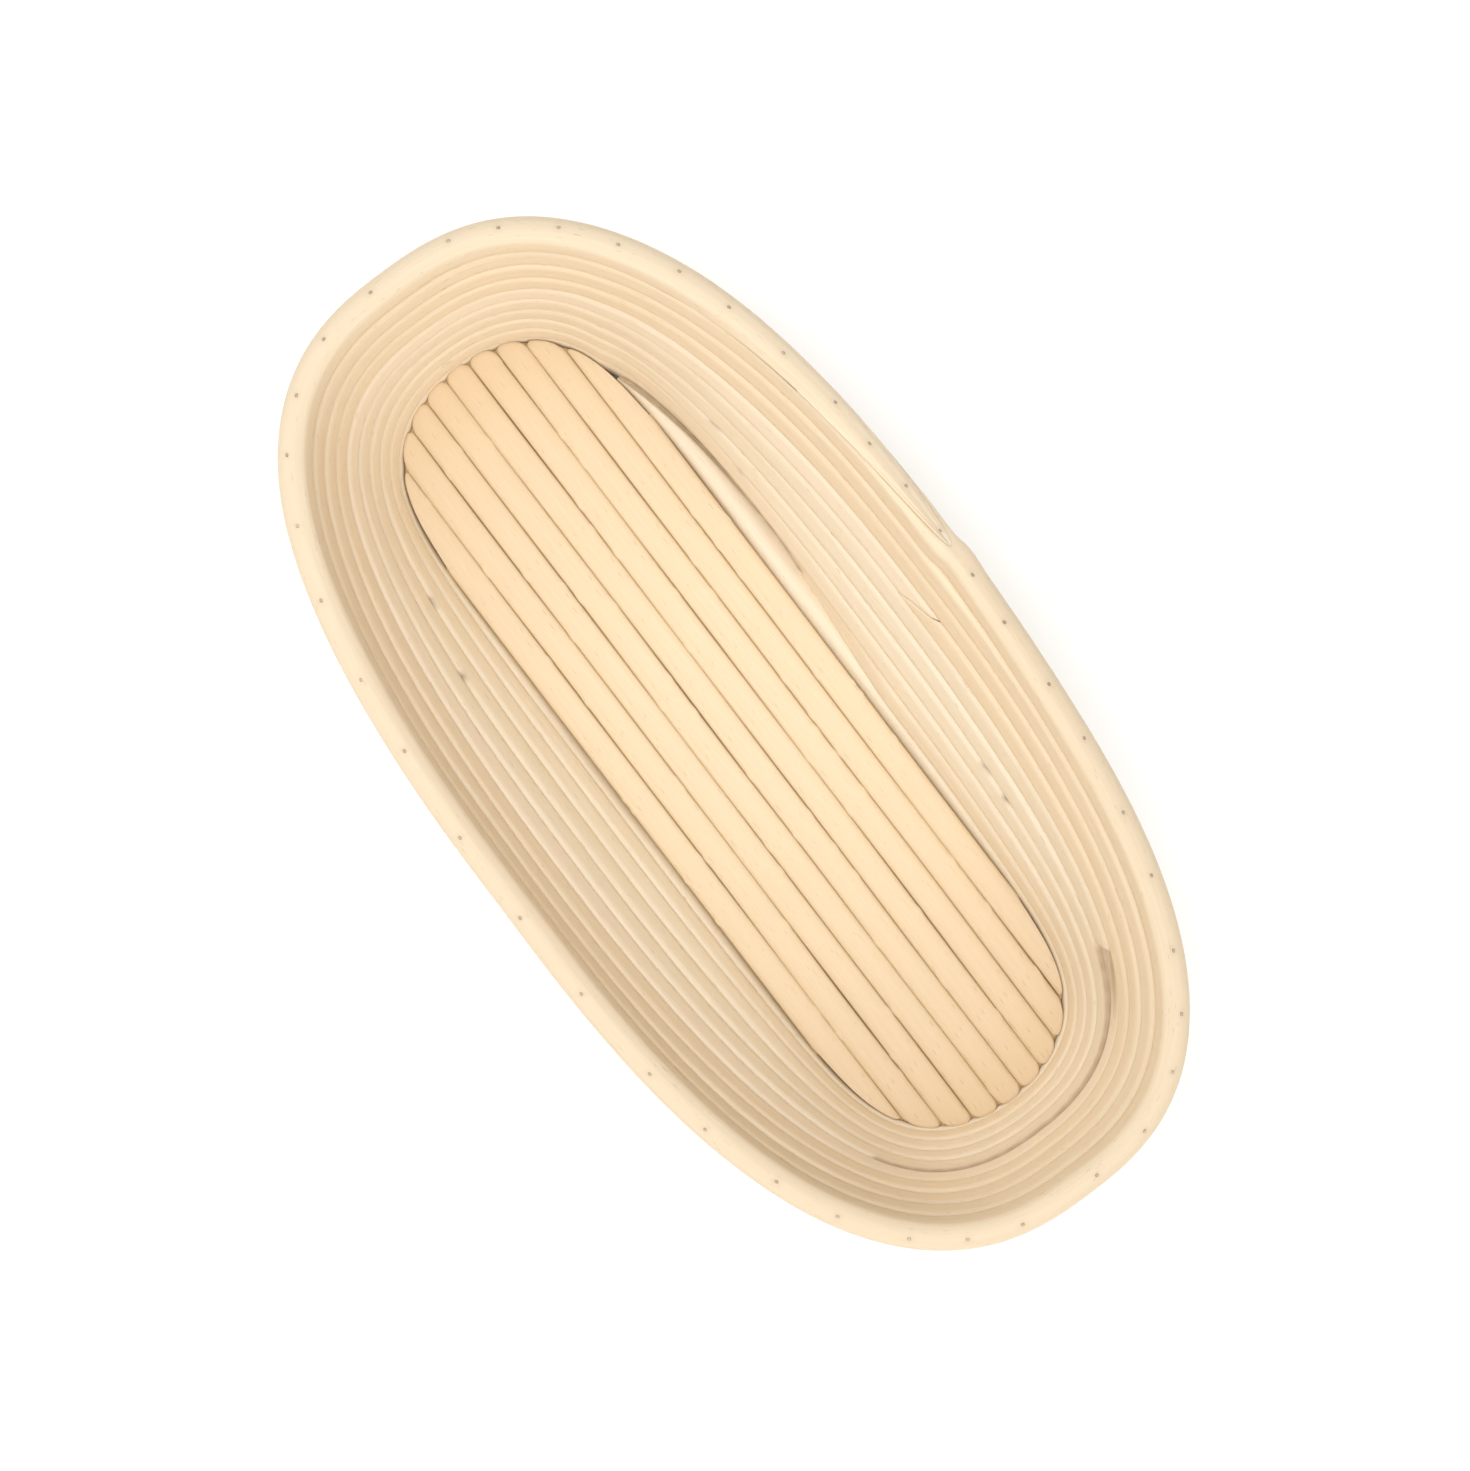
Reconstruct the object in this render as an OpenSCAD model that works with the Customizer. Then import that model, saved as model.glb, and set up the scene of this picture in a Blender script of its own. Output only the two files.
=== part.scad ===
// Oval proofing basket of round rattan cane, in millimetres.
// Straight canes make the base. One winding of cane, in three lengths, makes the wall and the rim.
// The base stands on z = 0 with its middle at the origin, and +X runs along its length.

/* [Cane] */
// Diameter of the rattan cane
cane_d = 8; // [6:0.1:9]
// Clearance between one turn of the winding and the next
turn_gap = 0.5; // [0.45:0.05:0.8]
// Clearance between neighbouring base canes, and between them and the first turn
base_gap = 0.1; // [0.05:0.05:0.3]

/* [Base] */
// Number of straight canes in the base
base_canes = 9; // [5:1:11]
// Length of the middle base cane
base_l = 256; // [200:1:280]
// How straight the long sides of the base are, 2 for an ellipse
base_side_power = 8.7; // [4:0.1:10]
// How blunt the ends of the base are, 2 for an ellipse
base_end_power = 2; // [2:0.05:2.6]
// Depth of the flat planed along the underside of the base
foot_flat = 0.5; // [0.3:0.1:1]

/* [Rim] */
// Length of the basket over its rim
rim_l = 298; // [260:1:340]
// Width of the basket over its rim
rim_w = 152; // [130:1:180]
// How straight the long sides of the rim are, 2 for an ellipse
rim_side_power = 2.55; // [2:0.05:4]
// How blunt the ends of the rim are, 2 for an ellipse
rim_end_power = 2.55; // [2:0.05:3]

/* [Wall] */
// Courses of cane from the base up to the rim, one for each turn of the winding
courses = 10; // [6:1:12]
// How far the wall bellies out along the long sides, at two thirds of its height
side_belly = 2.2; // [0:0.1:3]
// How far it hollows in at the ends
end_hollow = 1; // [0:0.1:2]
// How much less it bellies on one long side, and more on the other
belly_lean = 0.75; // [0:0.05:1]
// How far from one end of the base each turn begins to climb to the next course
climb_from = 23; // [10:0.5:30]
// Length of that climb, along the base
climb_l = 125; // [100:1:150]
// How early in the climb a turn does most of it, 1 for a steady climb
climb_power = 1.4; // [1:0.1:2]
// How far the second turn is pushed out by the winding's first end while it climbs over it
climb_push = 4.8; // [3:0.1:6]
// Thickness of the winding's first end at its tip, beside the second turn
start_tip = 1.2; // [0.8:0.1:1.8]
// Thickness of the winding's last end at its tip, on the turn below
end_tip = 0.6; // [0.5:0.1:2]
// Turns in the first length of cane
lower_turns = 5.283; // [3.3:0.001:5.8]
// Turns in the second length of cane
middle_turns = 0.862; // [0.4:0.001:0.9]
// Length of the slanting cut where two lengths of cane meet
splice_l = 8; // [0:0.5:10]

/* [Nails] */
// Width of a brad
nail_w = 1.2; // [0.8:0.1:1.6]
// Thickness of a brad
nail_t = 1; // [0.6:0.1:1.4]
// Length of a brad
nail_l = 11; // [10:0.5:15]
// How far a brad's head stands out of the cane
nail_proud = 0.1; // [0:0.05:0.3]
// Brads round each course below the rim, half as many as round the rim itself
wall_nail_count = 20; // [10:1:30]
// How much closer together the brads come near the winding's last end, 0 for evenly spaced
nail_crowding = 0.55; // [0:0.05:0.6]
// Brads through the first course along each long side of the base
side_nail_count = 4; // [2:1:8]
// Brads that fix each base cane to the next
base_nail_count = 3; // [2:1:5]
// Distance between the brads in a base cane
base_nail_step = 80; // [40:1:90]
// Distance by which those brads are staggered from one cane to the next
base_nail_stagger = 12; // [6:1:20]

/* [Hidden] */

// Rings of the winding in one turn, and corners in one ring
turn_rings = 48;
ring_sides = 8;
// Points along half of an oval outline
outline_steps = 48;

// The canes touch on the real basket, so their axes lie one diameter apart
pitch = cane_d;
cane_r = cane_d / 2;
base_r = (cane_d - base_gap) / 2;
wound_r = (cane_d - turn_gap) / 2;
base_w = base_canes * pitch;
axis_z = cane_r - foot_flat;
top_course = courses - 1;

// Corners of a ring within this angle of the uncut side stay on the cane's circle where an end is cut away
arc_limit = 112.5;
// How fast the push of the climb dies away up the wall
push_fade = 3;
// Share of a turn, on each side of the winding's last end, over which the brads come closer together
crowd_share = 0.1;

// Angles on the ovals where the winding climbs, and where its two ends lie
climb_start = angle_at(climb_from - base_l / 2, base_l);
climb_end = angle_at(climb_from + climb_l - base_l / 2, base_l);
start_angle = angle_climbed(room_share(start_tip + turn_gap));
end_angle = angle_climbed(1 - (end_tip + turn_gap) / pitch);
lead_share = (climb_start - start_angle) / 360;

// Turns from the start of the winding to its joints and to its end
lower_end = lower_turns;
middle_end = lower_turns + middle_turns;
end_turn = courses + (start_angle - end_angle) / 360;

function base_y(i) = (i - (base_canes + 1) / 2) * pitch;
function angle_at(x, length) = acos(2 * x / length);
function unit(v) = v / norm(v);
function blend(a, b, share) = a + (b - a) * share;

// A point of the oval |x/a|^p + |y/b|^q = 1 at an angle, and the outward normal there
function oval(a, b, p, q, angle) =
    let (u = abs(cos(angle)))
    [a * cos(angle), sign(sin(angle)) * b * pow(1 - pow(u, p), 1 / q)];
function oval_normal(a, b, p, q, angle) =
    let (u = abs(cos(angle)), v = pow(1 - pow(u, p), 1 / q))
    unit([sign(cos(angle)) * p / a * pow(u, p - 1), sign(sin(angle)) * q / b * pow(v, q - 1)]);
function base_oval(angle) = oval(base_l / 2, base_w / 2, base_side_power, base_end_power, angle);
function base_normal(angle) = oval_normal(base_l / 2, base_w / 2, base_side_power, base_end_power, angle);
function rim_oval(angle) = oval(rim_l / 2, rim_w / 2, rim_side_power, rim_end_power, angle);
function rim_normal(angle) = oval_normal(rim_l / 2, rim_w / 2, rim_side_power, rim_end_power, angle);

// A section of the wall: the axis of every course at an angle, from the base's oval out to the rim's.
// Each course leans out by the flare of the wall, and rises until it touches the course below.
function wall_section(angle) =
    let (
        low_normal = base_normal(angle),
        high_normal = rim_normal(angle),
        low = base_oval(angle) + (cane_r + base_gap) * low_normal,
        high = rim_oval(angle) - cane_r * high_normal,
        belly = side_belly * pow(sin(angle), 2) - end_hollow * pow(cos(angle), 2) - belly_lean * sin(angle),
        normal = [for (k = [0 : top_course]) unit(blend(low_normal, high_normal, k / top_course))],
        flat = [
            for (k = [0 : top_course])
                let (s = k / top_course)
                blend(low, high, s) + 6.75 * belly * s * s * (1 - s) * normal[k]
        ],
        out = [for (k = [0 : top_course - 1]) (flat[k + 1] - flat[k]) * unit(normal[k] + normal[k + 1])],
        rise = [for (p = out) sqrt(max(0, pitch * pitch - p * p))]
    )
    [
        for (k = 0, z = axis_z; k < courses; z = z + (k < top_course ? rise[k] : 0), k = k + 1)
            concat(flat[k], z)
    ];
function wall_outward(course, angle) =
    concat(unit(blend(base_normal(angle), rim_normal(angle), course / top_course)), 0);

// The share of a climb where the second turn's axis has come some way from the first one's, found in a few steps
function room_share(room) = next_share(room, next_share(room, next_share(room, 0)));
function next_share(room, share) = room / norm([pitch, 4 * climb_push * (1 - share)]);
// The angle where a turn has done some share of its climb
function angle_climbed(share) = blend(climb_start, climb_end, 1 - pow(1 - share, 1 / climb_power));

// The winding runs clockwise seen from above, and its turns are counted from its first end.
// Each turn keeps to its course round three sides, and climbs to the next along the fourth.
function turn_angle(turn) = start_angle - 360 * turn;
function turn_number(turn) = floor(turn + lead_share);
function climbed(turn) =
    let (
        angle = turn_angle(turn - turn_number(turn)),
        share = (climb_start - angle) / (climb_start - climb_end)
    )
    1 - pow(1 - min(1, max(0, share)), climb_power);
function turn_course(turn) =
    let (k = turn_number(turn))
    k < 1 ? 0 : k > top_course ? top_course : k - 1 + climbed(turn);

// The axis of the winding at a turn. A climbing turn is pushed out and down, square to the wall, and the
// push dies away towards the rim.
function turn_axis(turn) =
    let (
        angle = turn_angle(turn),
        course = turn_course(turn),
        k = min(floor(course), top_course - 1),
        share = course - k,
        section = wall_section(angle),
        out = wall_outward(course, angle),
        step = section[k + 1] - section[k],
        up = unit([step * out, step.z]),
        push = 4 * climb_push * share * (1 - share) * pow(1 - course / top_course, push_fade)
    )
    blend(section[k], section[k + 1], share) + push * (up.y * out - up.x * [0, 0, 1]);

// The winding at a turn: its axis, the outward direction, and at its two ends the way to the neighbour that the
// end is cut away for, out and up. That is the turn climbing over the first end, and under the last one.
function turn_state(turn) =
    let (
        k = turn_number(turn),
        axis = turn_axis(turn),
        out = wall_outward(turn_course(turn), turn_angle(turn)),
        step = k < 1 ? turn_axis(turn + 1) - axis : k > top_course ? turn_axis(turn - 1) - axis : [0, 0, 0]
    )
    [axis, out, [step * out, step.z]];
// How far from its axis the cane is cut flat towards that neighbour, and how thick that leaves it
function cut_level(way) = norm(way) == 0 ? wound_r : min(wound_r, norm(way) - wound_r - turn_gap);
function thickness(state) = wound_r + cut_level(state[2]);

// A corner of a ring: a point of the cane's circle, or of the segment of it that the cut leaves
function ring_corner(state, corner) =
    let (
        level = cut_level(state[2]),
        full = level >= wound_r,
        facing = full ? 0 : atan2(state[2].y, state[2].x) + 180,
        turned = ((corner - facing) % 360 + 540) % 360 - 180,
        arc = full ? arc_limit : min(arc_limit, acos(-level / wound_r)),
        kept = abs(turned) <= arc_limit,
        on_arc = turned * arc / arc_limit,
        along = kept ? wound_r * cos(on_arc) : max(wound_r * cos(turned), -level),
        aside = kept ? wound_r * sin(on_arc) : wound_r * sin(arc) * sin(turned) / sin(arc_limit),
        flat = along * [cos(facing), sin(facing)] + aside * [-sin(facing), cos(facing)],
        q = state[0] + flat.x * state[1] + flat.y * [0, 0, 1]
    )
    [q.x, q.y, max(0, q.z)];
// A ring square to the winding, and one that slants where two lengths of cane meet
function ring(turn) =
    let (state = turn_state(turn))
    [for (j = [0 : ring_sides - 1]) ring_corner(state, 360 * j / ring_sides)];
function slant_share(turn) =
    let (step = 1 / turn_rings)
    splice_l * step / norm(turn_state(turn + step / 2)[0] - turn_state(turn - step / 2)[0]);
function slanting_ring(turn) =
    let (share = slant_share(turn))
    [
        for (j = [0 : ring_sides - 1])
            let (corner = 360 * j / ring_sides)
            ring_corner(turn_state(turn + share / 2 * sin(corner)), corner)
    ];

// One length of the winding, as one unbroken tube
module wound_cane(first, last, first_ring, last_ring) {
    first_i = ceil((first + slant_share(first)) * turn_rings);
    last_i = floor((last - slant_share(last)) * turn_rings);
    rings = concat([first_ring], [for (i = [first_i : last_i]) ring(i / turn_rings)], [last_ring]);
    n = ring_sides;
    end = (len(rings) - 1) * n;
    sides = [
        for (i = [0 : len(rings) - 2], j = [0 : n - 1])
            let (a = i * n + j, b = i * n + (j + 1) % n, c = a + n, d = b + n)
            each [[a, c, d], [a, d, b]]
    ];
    caps = [for (j = [1 : n - 2]) each [[0, j, j + 1], [end, end + j + 1, end + j]]];
    polyhedron([for (r = rings) each r], concat(sides, caps));
}

// The least gap from the winding to itself, from the corners of each ring to the edges of the ring above
function edge_gap(p, a, b) =
    let (along = b - a, share = min(1, max(0, (p - a) * along / (along * along))))
    norm(p - a - share * along);
function ring_gap(low, high) =
    min([
        for (p = low, j = [0 : ring_sides - 1])
            edge_gap(p, high[j], high[(j + 1) % ring_sides])
    ]);
measured = [for (t = [0 : 1 / turn_rings : end_turn]) ring(t)];
turn_gaps = [
    for (i = [0 : len(measured) - turn_rings - 1])
        let (low = measured[i], high = measured[i + turn_rings])
        min(ring_gap(low, high), ring_gap(high, low))
];
echo(least_gap_in_winding_mm = min(turn_gaps));

// A brad that runs from its head along a direction of unit length
module brad(head, direction) {
    translate(head)
        rotate([0, acos(direction.z), atan2(direction.y, direction.x)])
            translate([-nail_w / 2, -nail_t / 2, 0])
                cube([nail_w, nail_t, nail_l]);
}

// A brad that fixes a turn to the turn below, along the line between their axes,
// left out where the turn below is too thin to hold it
module turn_nail(turn) {
    top = turn_state(turn);
    below = turn_state(turn - 1);
    down = unit(below[0] - top[0]);
    if (thickness(below) > nail_l - cane_d)
        color("dimgray")
            brad(top[0] - (wound_r + nail_proud) * down, down);
}

module base_cane(i) {
    outline = [
        for (k = [0 : 2 * outline_steps - 1])
            base_oval(180 * (k + 0.5) / outline_steps)
    ];
    color("burlywood")
        intersection() {
            translate([-base_l / 2, base_y(i), axis_z])
                rotate([0, 90, 0])
                    cylinder(r = base_r, h = base_l, $fn = 48);
            linear_extrude(cane_d)
                polygon(outline);
        }
}

module lower_wall_cane() {
    color("wheat")
        wound_cane(0, lower_end, ring(0), slanting_ring(lower_end));
}

module middle_wall_cane() {
    color("cornsilk")
        wound_cane(lower_end, middle_end, slanting_ring(lower_end), slanting_ring(middle_end));
}

module upper_wall_cane() {
    color("wheat")
        wound_cane(middle_end, end_turn, slanting_ring(middle_end), ring(end_turn));
}

// A share of a turn from the winding's last end, moved so that even steps come closer together near that end
function tanh(x) = 1 - 2 / (exp(2 * x) + 1);
function crowded(share) =
    let (near = share < 0.5 ? share : share - 1)
    share + nail_crowding * crowd_share * (2 * near - tanh(near / crowd_share));

// Brads through a course, once round from below the winding's last end.
// Each row lies half a step on from the row below, so that no brad is driven on to another.
module wall_nails(k) {
    for (j = [0 : wall_nail_count - 1])
        turn_nail(end_turn - courses + k + crowded((j + k % 2 / 2) / wall_nail_count));
}

// Brads down through the last turn, two for each brad of the row below and a quarter of its step to either side
module rim_nails() {
    count = 2 * wall_nail_count;
    for (j = [0 : count - 1])
        turn_nail(end_turn - 1 + crowded((j + 0.5) / count));
}

// Brads through the first course, into the ends and the outer sides of the base
module foot_nails() {
    color("dimgray") {
        for (i = [1 : base_canes], end = [0, 180])
            foot_nail(base_angle(2 * base_y(i) / base_w, end));
        for (j = [0 : side_nail_count - 1], side = [1, -1])
            foot_nail(side * angle_at(((j + 0.5) / side_nail_count - 0.5) * base_l, base_l));
    }
}

// The angle on the base's oval at a share of its half width, near the end that faces an angle
function base_angle(share, end) =
    let (a = sign(share) * acos(pow(1 - pow(abs(share), base_end_power), 1 / base_side_power)))
    end == 0 ? a : 180 - a;

module foot_nail(angle) {
    turn = ((start_angle - angle) % 360 + 360) % 360 / 360;
    state = turn_state(turn);
    if (thickness(state) > nail_l - cane_d)
        brad(state[0] + (wound_r + nail_proud) * state[1], -state[1]);
}

// Brads through each base cane into the next, staggered so that they miss each other
module base_nails() {
    color("dimgray")
        for (i = [1 : base_canes - 1], j = [0 : base_nail_count - 1]) {
            x = (j - (base_nail_count - 1) / 2) * base_nail_step + (i % 2 - 0.5) * base_nail_stagger;
            brad([x, base_y(i) - base_r, axis_z], [0, 1, 0]);
        }
}

for (i = [1 : base_canes])
    base_cane(i);
lower_wall_cane();
middle_wall_cane();
upper_wall_cane();
for (k = [1 : courses - 2])
    wall_nails(k);
rim_nails();
foot_nails();
base_nails();
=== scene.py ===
# %% [markdown]
# # A proofing basket of wound rattan
# Bakers let dough rise in a basket like this one. Nine straight canes lie side by side as its base, and one
# long cane is wound round them ten times, nailed turn to turn, to make the wall and the rim.
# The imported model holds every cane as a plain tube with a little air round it. This lesson dresses that
# frame: real canes touch, swell and wander a little, show their fibres, and are cut and nailed by hand.

import bpy
import numpy as np
from mathutils import Matrix, Vector


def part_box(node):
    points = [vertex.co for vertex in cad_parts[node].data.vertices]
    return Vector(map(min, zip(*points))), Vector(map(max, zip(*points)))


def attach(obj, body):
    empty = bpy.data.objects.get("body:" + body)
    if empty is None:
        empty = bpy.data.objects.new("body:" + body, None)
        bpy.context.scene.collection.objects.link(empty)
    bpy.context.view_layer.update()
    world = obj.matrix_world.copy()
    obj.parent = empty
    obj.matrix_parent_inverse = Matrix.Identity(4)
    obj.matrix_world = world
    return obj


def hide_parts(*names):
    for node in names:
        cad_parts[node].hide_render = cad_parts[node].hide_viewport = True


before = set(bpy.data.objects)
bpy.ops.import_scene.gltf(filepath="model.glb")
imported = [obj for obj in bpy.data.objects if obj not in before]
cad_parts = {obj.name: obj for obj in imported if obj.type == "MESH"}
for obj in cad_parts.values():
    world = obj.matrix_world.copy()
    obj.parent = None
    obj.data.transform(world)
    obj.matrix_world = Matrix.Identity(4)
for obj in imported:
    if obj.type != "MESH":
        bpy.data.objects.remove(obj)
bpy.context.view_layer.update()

# %% [markdown]
# ## The sizes that shape the basket
# Every surface below follows from a few sizes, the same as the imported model's, in metres. The base and the
# rim are ovals of the form |x/a|^p + |y/b|^q = 1: the powers say how straight the sides and how blunt the
# ends are. Working from the sizes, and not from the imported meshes, lets each cane be as smooth as it needs
# to be.

# %% Sizes in metres
MM = 0.001
cane_r = 4 * MM
pitch = 2 * cane_r
axis_z = cane_r - 0.5 * MM  # the underside is planed flat half a millimetre deep
base_half_l = 128 * MM
base_half_w = 36 * MM
base_oval = (base_half_l, base_half_w, 8.7, 2.0)  # a, b, p and q
rim_oval = (149 * MM, 76 * MM, 2.55, 2.55)
base_gap = 0.1 * MM
courses = 10
top_course = courses - 1
base_names = [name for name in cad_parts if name.startswith("base_cane_")]
print(len(base_names), "base canes and", courses, "courses of wall")

# %% [markdown]
# ## One mesh maker for every tube
# Canes and brads are all closed tubes: a grid of points with rows along the piece and columns round it,
# whose first and last rows shrink to a point. Blender could sweep a bevelled curve instead, but a grid lets
# every point move by a formula, and hands each corner a UV place measured in real metres along the cane,
# which the finish needs later. The whole mesh is a few numpy arrays, given to Blender in one go, and the
# sign of its volume turns it right side out.

# %% Faces and UV places of a closed tube
def tube_faces(rows, cols):
    """Corner numbers of a closed tube's faces: quads between rows, and a fan of triangles at each end."""
    ring = 1 + np.arange((rows - 2) * cols).reshape(rows - 2, cols)
    after = np.roll(ring, -1, axis=1)
    quads = np.stack([ring[:-1], ring[1:], after[1:], after[:-1]], -1).reshape(-1, 4)
    first = np.stack([np.zeros(cols, int), ring[0], after[0]], -1)
    last = np.stack([np.full(cols, ring[-1, -1] + 1), after[-1], ring[-1]], -1)
    return quads, first, last


def tube_uvs(along):
    """UV of every face corner: u is the place along the tube in metres, v the share of the way round it."""
    rows, cols = along.shape
    near = np.broadcast_to(np.arange(cols) / cols, (rows, cols))
    far = near + 1 / cols
    beside = np.roll(along, -1, axis=1)
    u = np.stack([along[1:-2], along[2:-1], beside[2:-1], beside[1:-2]], -1)
    v = np.stack([near[1:-2], near[2:-1], far[2:-1], far[1:-2]], -1)
    quads = np.stack([u, v], -1).reshape(-1, 2)
    middle = (near[0] + far[0]) / 2
    first_u = np.stack([along[0], along[1], beside[1]], -1)
    last_u = np.stack([along[-1], beside[-2], along[-2]], -1)
    first = np.stack([first_u, np.stack([middle, near[0], far[0]], -1)], -1)
    last = np.stack([last_u, np.stack([middle, far[0], near[0]], -1)], -1)
    return np.concatenate([quads, first.reshape(-1, 2), last.reshape(-1, 2)])


# %% Closed tubes from grids of points
def add_tubes(name, points, along):
    """A mesh object of closed tubes. points is (tubes, rows, cols, 3) and along is (tubes, rows, cols)."""
    tubes, rows, cols = points.shape[:3]
    ends = points[:, [0, -1]].mean(2)
    body = points[:, 1:-1].reshape(tubes, -1, 3)
    verts = np.concatenate([ends[:, :1], body, ends[:, 1:]], 1)
    parts = tube_faces(rows, cols)
    lift = verts.shape[1] * np.arange(tubes)[:, None]
    corners = (np.concatenate([part.ravel() for part in parts]) + lift).ravel()
    sizes = np.tile(np.concatenate([np.full(len(part), part.shape[1]) for part in parts]), tubes)
    starts = np.cumsum(sizes) - sizes
    uvs = np.concatenate([tube_uvs(one) for one in along])
    triangles = np.concatenate([parts[0][:, :3], parts[0][:, [0, 2, 3]], parts[1], parts[2]])
    a, b, c = (verts[0][triangles[:, k]] for k in range(3))
    if (a * np.cross(b, c)).sum() < 0:
        turned = np.repeat(2 * starts + sizes - 1, sizes) - np.arange(len(corners))
        corners, uvs = corners[turned], uvs[turned]
    mesh = bpy.data.meshes.new(name)
    mesh.vertices.add(verts.size // 3)
    mesh.vertices.foreach_set("co", verts.astype(np.float32).ravel())
    mesh.loops.add(len(corners))
    mesh.loops.foreach_set("vertex_index", corners.astype(np.int32))
    mesh.polygons.add(len(starts))
    mesh.polygons.foreach_set("loop_start", starts.astype(np.int32))
    mesh.update(calc_edges=True)
    mesh.uv_layers.new(name="place").data.foreach_set("uv", uvs.astype(np.float32).ravel())
    mesh.shade_smooth()
    mesh.validate()
    piece = bpy.data.objects.new(name, mesh)
    bpy.context.scene.collection.objects.link(piece)
    print(f"{name}: {tubes} tubes, {tubes * len(triangles)} triangles")
    return piece


def dress(piece, node_name):
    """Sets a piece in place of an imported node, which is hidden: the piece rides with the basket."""
    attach(piece, "root")
    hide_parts(node_name)


# %% [markdown]
# ## Nothing on a cane is quite straight
# Rattan is a climbing palm, and its core is only nearly round and nearly straight. A slow wander, the sum of
# a few sines of random phase, moves the axis and the thickness by a tenth of a millimetre. Its seeds are
# fixed, so that the basket comes out the same each time. Where canes press on each other, their round
# section is squared a little.

# %% A slow wander along a cane, and a cane's pressed section
def wander(place, wave_l, seed, waves=6):
    """Sum of sines along a place, of lengths from a third of wave_l up and random phases, about -1 to 1."""
    draw = np.random.default_rng(seed)
    lengths = wave_l * draw.uniform(0.35, 1.2, waves)
    phases = draw.uniform(0, 2 * np.pi, waves)
    return np.sin(2 * np.pi * np.asarray(place)[..., None] / lengths + phases).sum(-1) / np.sqrt(waves)


def pressed_reach(angle, power):
    """Distance from the middle to |x|^n + |y|^n = 1 at an angle: 2 is a circle, and more is squarer."""
    return (np.abs(np.cos(angle)) ** power + np.abs(np.sin(angle)) ** power) ** (-1 / power)


# %% [markdown]
# ## The ovals and the wall's section
# Above any angle round the basket, the ten courses step out evenly from the base's oval to the rim's,
# bellied along the sides and hollow at the ends, and each one rises until it touches the course below. So
# the steep ends come out taller than the flared sides, and the rim dips along the sides like a saddle, with
# no height given anywhere.

# %% Ovals and the rim's stray
four_wave, four_phase = 0.53 * MM, 0.36
three_wave, three_phase = 0.27 * MM, 0.76


def unit(v):
    """A vector of length one in the same direction."""
    return v / np.linalg.norm(v, axis=-1, keepdims=True)


def oval(half_l, half_w, side_power, end_power, angle):
    """Point and outward normal of |x/a|^p + |y/b|^q = 1, with x = a cos(angle) and y from the rest."""
    c, s = np.cos(angle), np.sin(angle)
    v = (1 - np.abs(c) ** side_power) ** (1 / end_power)
    point = np.stack([half_l * c, np.sign(s) * half_w * v, 0 * c], -1)
    slope_x = np.sign(c) * side_power / half_l * np.abs(c) ** (side_power - 1)
    slope_y = np.sign(s) * end_power / half_w * v ** (end_power - 1)
    return point, unit(np.stack([slope_x, slope_y, 0 * c], -1))


def unevenness(angle):
    """How far the hand-bent rim strays from its oval: a wave of four rounds and a lesser one of three."""
    return four_wave * np.sin(4 * angle - four_phase) + three_wave * np.cos(3 * angle + three_phase)


stray = unevenness(np.linspace(0, 2 * np.pi, 361))
print("the rim strays from its oval by up to", (np.abs(stray).max() / MM).round(2), "mm")

# %% Section of the wall
side_belly = 2.2 * MM
end_hollow = 1 * MM
belly_lean = 0.75 * MM
belly_peak = 27 / 4  # makes s^2 (1 - s) reach 1 at its highest


def wall_section(angle):
    """Axes of all courses above an angle, and the outward directions at the base and at the rim. Even steps
    from oval to oval, bellied by 27/4 b s^2 (1 - s), each raised until it lies one pitch from the last."""
    low, low_out = oval(*base_oval, angle)
    high, high_out = oval(*rim_oval, angle)
    low = (low + (cane_r + base_gap) * low_out)[..., None, :]
    high = (high + (unevenness(angle) - cane_r)[..., None] * high_out)[..., None, :]
    belly = side_belly * np.sin(angle) ** 2 - end_hollow * np.cos(angle) ** 2 - belly_lean * np.sin(angle)
    s = np.linspace(0, 1, courses)[:, None]
    out = unit(low_out[..., None, :] * (1 - s) + high_out[..., None, :] * s)
    axes = low * (1 - s) + high * s + belly_peak * belly[..., None, None] * s ** 2 * (1 - s) * out
    step = (np.diff(axes, axis=-2) * unit(out[..., 1:, :] + out[..., :-1, :])).sum(-1)
    rise = np.sqrt(np.maximum(0, pitch ** 2 - step ** 2))
    axes[..., 0, 2] = axis_z
    axes[..., 1:, 2] = axis_z + np.cumsum(rise, -1)
    return axes, low_out, high_out


heights = wall_section(np.radians([0.0, 90.0, 270.0]))[0][:, -1, 2] + cane_r
print("rim height at an end and at the two sides in mm:", (heights / MM).round(1))

# %% [markdown]
# ## The winding
# The wound cane runs clockwise seen from above. It keeps to its course round three sides, and along the
# fourth it climbs to the next, quickly at first. There the second turn has to pass outside the winding's
# thin first end before it can rise on to it, so it is pushed out and down, and the push dies away from turn
# to turn up the wall. Counting the place along the winding in turns gives one number from which everything
# follows.

# %% Where the winding climbs, starts and ends
climb_from = 23 * MM  # from the end of the base
climb_l = 125 * MM
climb_power = 1.4
first_thick = 1.2 * MM  # thickness of the winding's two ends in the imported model, and the air beside them
last_thick = 0.6 * MM
clearance = 0.5 * MM
climb_push = 4.8 * MM
climb_start = np.arccos(climb_from / base_half_l - 1)
climb_end = np.arccos((climb_from + climb_l) / base_half_l - 1)


def angle_climbed(share):
    """The angle where a turn has done that share of its climb: the climb's formula solved for the angle."""
    return climb_start + (climb_end - climb_start) * (1 - (1 - share) ** (1 / climb_power))


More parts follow.
